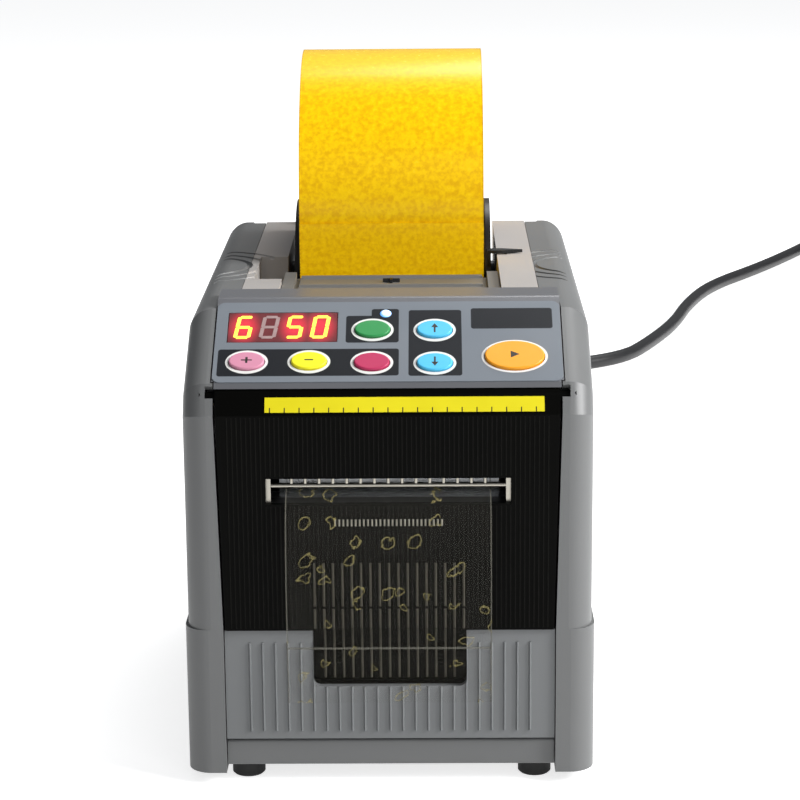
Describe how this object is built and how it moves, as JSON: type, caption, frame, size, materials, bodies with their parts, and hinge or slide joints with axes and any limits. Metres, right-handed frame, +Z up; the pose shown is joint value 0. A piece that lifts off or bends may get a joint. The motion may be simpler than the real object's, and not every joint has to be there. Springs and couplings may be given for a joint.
{
  "type": "electric tape dispenser",
  "caption": "Counter-top electric dispenser for wide tape: keypad, powered feed rollers, dropping blade behind a hinged front cover, and an open throat that holds the roll.",
  "frame": {"origin": "on the counter, under the middle of the casing with its roll and strip, without the cord", "axes": "+X to the right, +Y to the rear, +Z up"},
  "size_m": [0.481, 1.1487, 0.238],
  "materials": {
    "shell": "satin moulded",
    "base": "satin moulded",
    "deck": "satin moulded",
    "hood": "satin moulded",
    "dark": "smoked",
    "black": "satin",
    "overlay": "printed film",
    "window": "clear red",
    "board": "lacquered",
    "key_white": "printed film",
    "stripe": "printed film",
    "steel": "ground",
    "zinc": "zinc plated",
    "chrome": "polished",
    "brass": "turned",
    "rubber": "soft",
    "nylon": "moulded nylon",
    "tape": "clear film",
    "film": "clear film",
    "card": "wound card",
    "cable": "sheathed"
  },
  "bodies": {
    "casing": {"base_pan": "base", "left_shell": "shell", "right_shell": "shell", "top_deck": "deck", "control_housing": "hood", "front_plate": "shell", "grip_tongue": "black", "rear_cover": "shell", "rubber_feet": "rubber", "case_screws": "zinc", "keypad_overlay": "overlay", "display_window": "window", "keypad_board": "board", "frame_left": "zinc", "frame_right": "zinc", "bearings": "brass", "feed_motor": "steel", "cutter_motor": "steel", "cutter_bed": "zinc", "lower_blade": "steel", "return_springs": "steel", "guide_plate": "deck", "tape_web": "film", "transformer": "steel", "main_board": "board", "power_switch": "black", "cord_gland": "black", "cord": "cable", "cord_coil": "cable", "plug": "cable"},
    "cover": {"front_cover": "dark", "yellow_stripe": "stripe", "chute_insert": "black", "exit_comb": "chrome", "tape_strip": "film"},
    "feed": {"feed_roller": "nylon", "feed_rings": "rubber", "feed_gear": "nylon"},
    "idler": {"idler_gear": "nylon"},
    "pinion": {"motor_pinion": "brass"},
    "yoke": {"pinch_arm": "zinc"},
    "pinch": {"pinch_roller": "nylon"},
    "cams": {"cam_shaft": "nylon"},
    "cutter_drive": {"cutter_pinion": "brass"},
    "slide": {"blade_slide": "zinc", "upper_blade": "steel"},
    "roll": {"tape_roll": "tape", "roll_core": "card"},
    "support_a": {"front_support": "nylon"},
    "support_b": {"rear_support": "nylon"},
    "guide_left": {"guide_disc_left": "black"},
    "guide_right": {"guide_disc_right": "black"},
    "rocker": {"power_rocker": "black"},
    "feed_button": {"key_feed": "key_white"},
    "plus_button": {"key_plus": "key_white"},
    "minus_button": {"key_minus": "key_white"},
    "cut_button": {"key_cut": "key_white"},
    "up_button": {"key_up": "key_white"},
    "down_button": {"key_down": "key_white"},
    "start_button": {"key_start": "key_white"}
  },
  "joints": [
    {"name": "cover_hinge", "type": "hinge", "parent": "casing", "child": "cover", "pos_m": [0, -0.1036, 0.1382], "axis": [-1, 0, 0], "range_deg": [0, 58]},
    {"name": "feed_spin", "type": "hinge", "parent": "casing", "child": "feed", "pos_m": [0, -0.05, 0.126], "axis": [1, 0, 0], "continuous": true},
    {"name": "idler_spin", "type": "hinge", "parent": "casing", "child": "idler", "pos_m": [0.058, -0.0355, 0.10089], "axis": [1, 0, 0], "continuous": true},
    {"name": "pinion_spin", "type": "hinge", "parent": "casing", "child": "pinion", "pos_m": [0.058, -0.01941, 0.08739], "axis": [1, 0, 0], "continuous": true},
    {"name": "yoke_lift", "type": "hinge", "parent": "casing", "child": "yoke", "pos_m": [0, -0.037, 0.1475], "axis": [-1, 0, 0], "range_deg": [0, 7], "stiffness_Nm_per_rad": 0.6, "springref_deg": -11.46},
    {"name": "pinch_spin", "type": "hinge", "parent": "yoke", "child": "pinch", "pos_m": [0, -0.0603, 0.14384], "axis": [1, 0, 0], "continuous": true},
    {"name": "cam_spin", "type": "hinge", "parent": "casing", "child": "cams", "pos_m": [0, -0.078, 0.078], "axis": [-1, 0, 0], "range_deg": [0, 150]},
    {"name": "cutter_spin", "type": "hinge", "parent": "casing", "child": "cutter_drive", "pos_m": [-0.058, -0.05263, 0.06877], "axis": [-1, 0, 0], "range_deg": [-300, 0]},
    {"name": "blade_drop", "type": "slide", "parent": "casing", "child": "slide", "axis": [0, 0, -1], "range_m": [0, 0.008], "deforming": ["return_springs"]},
    {"name": "roll_spin", "type": "hinge", "parent": "casing", "child": "roll", "pos_m": [0, 0.065, 0.183], "axis": [1, 0, 0], "continuous": true},
    {"name": "support_a_spin", "type": "hinge", "parent": "casing", "child": "support_a", "pos_m": [0, 0.01971, 0.13771], "axis": [1, 0, 0], "continuous": true},
    {"name": "support_b_spin", "type": "hinge", "parent": "casing", "child": "support_b", "pos_m": [0, 0.09457, 0.12619], "axis": [1, 0, 0], "continuous": true},
    {"name": "guide_left_slide", "type": "slide", "parent": "casing", "child": "guide_left", "axis": [-1, 0, 0], "range_m": [0, 0.0015], "stiffness_N_per_m": 200},
    {"name": "guide_right_slide", "type": "slide", "parent": "casing", "child": "guide_right", "axis": [1, 0, 0], "range_m": [0, 0.0015], "stiffness_N_per_m": 200},
    {"name": "rocker_tilt", "type": "hinge", "parent": "casing", "child": "rocker", "pos_m": [-0.034, 0.106, 0.034], "axis": [1, 0, 0], "range_deg": [-8, 8]},
    {"name": "feed_press", "type": "slide", "parent": "casing", "child": "feed_button", "axis": [0, 0.5, -0.866], "range_m": [0, 0.0005], "stiffness_N_per_m": 400},
    {"name": "plus_press", "type": "slide", "parent": "casing", "child": "plus_button", "axis": [0, 0.5, -0.866], "range_m": [0, 0.0005], "stiffness_N_per_m": 400},
    {"name": "minus_press", "type": "slide", "parent": "casing", "child": "minus_button", "axis": [0, 0.5, -0.866], "range_m": [0, 0.0005], "stiffness_N_per_m": 400},
    {"name": "cut_press", "type": "slide", "parent": "casing", "child": "cut_button", "axis": [0, 0.5, -0.866], "range_m": [0, 0.0005], "stiffness_N_per_m": 400},
    {"name": "up_press", "type": "slide", "parent": "casing", "child": "up_button", "axis": [0, 0.5, -0.866], "range_m": [0, 0.0005], "stiffness_N_per_m": 400},
    {"name": "down_press", "type": "slide", "parent": "casing", "child": "down_button", "axis": [0, 0.5, -0.866], "range_m": [0, 0.0005], "stiffness_N_per_m": 400},
    {"name": "start_press", "type": "slide", "parent": "casing", "child": "start_button", "axis": [0, 0.5, -0.866], "range_m": [0, 0.0005], "stiffness_N_per_m": 400}
  ],
  "couplings": [
    {"joint": "feed_spin", "follows": "roll_spin", "ratio": 4.5833},
    {"joint": "idler_spin", "follows": "roll_spin", "ratio": -4.9107},
    {"joint": "pinion_spin", "follows": "roll_spin", "ratio": 9.8214},
    {"joint": "pinch_spin", "follows": "roll_spin", "ratio": -6.875},
    {"joint": "cutter_spin", "follows": "cam_spin", "ratio": -2},
    {"joint": "blade_drop", "follows": "cam_spin", "m_per_rad": 0.0030558},
    {"joint": "support_a_spin", "follows": "roll_spin", "ratio": -6.1111},
    {"joint": "support_b_spin", "follows": "roll_spin", "ratio": -6.1111}
  ]
}
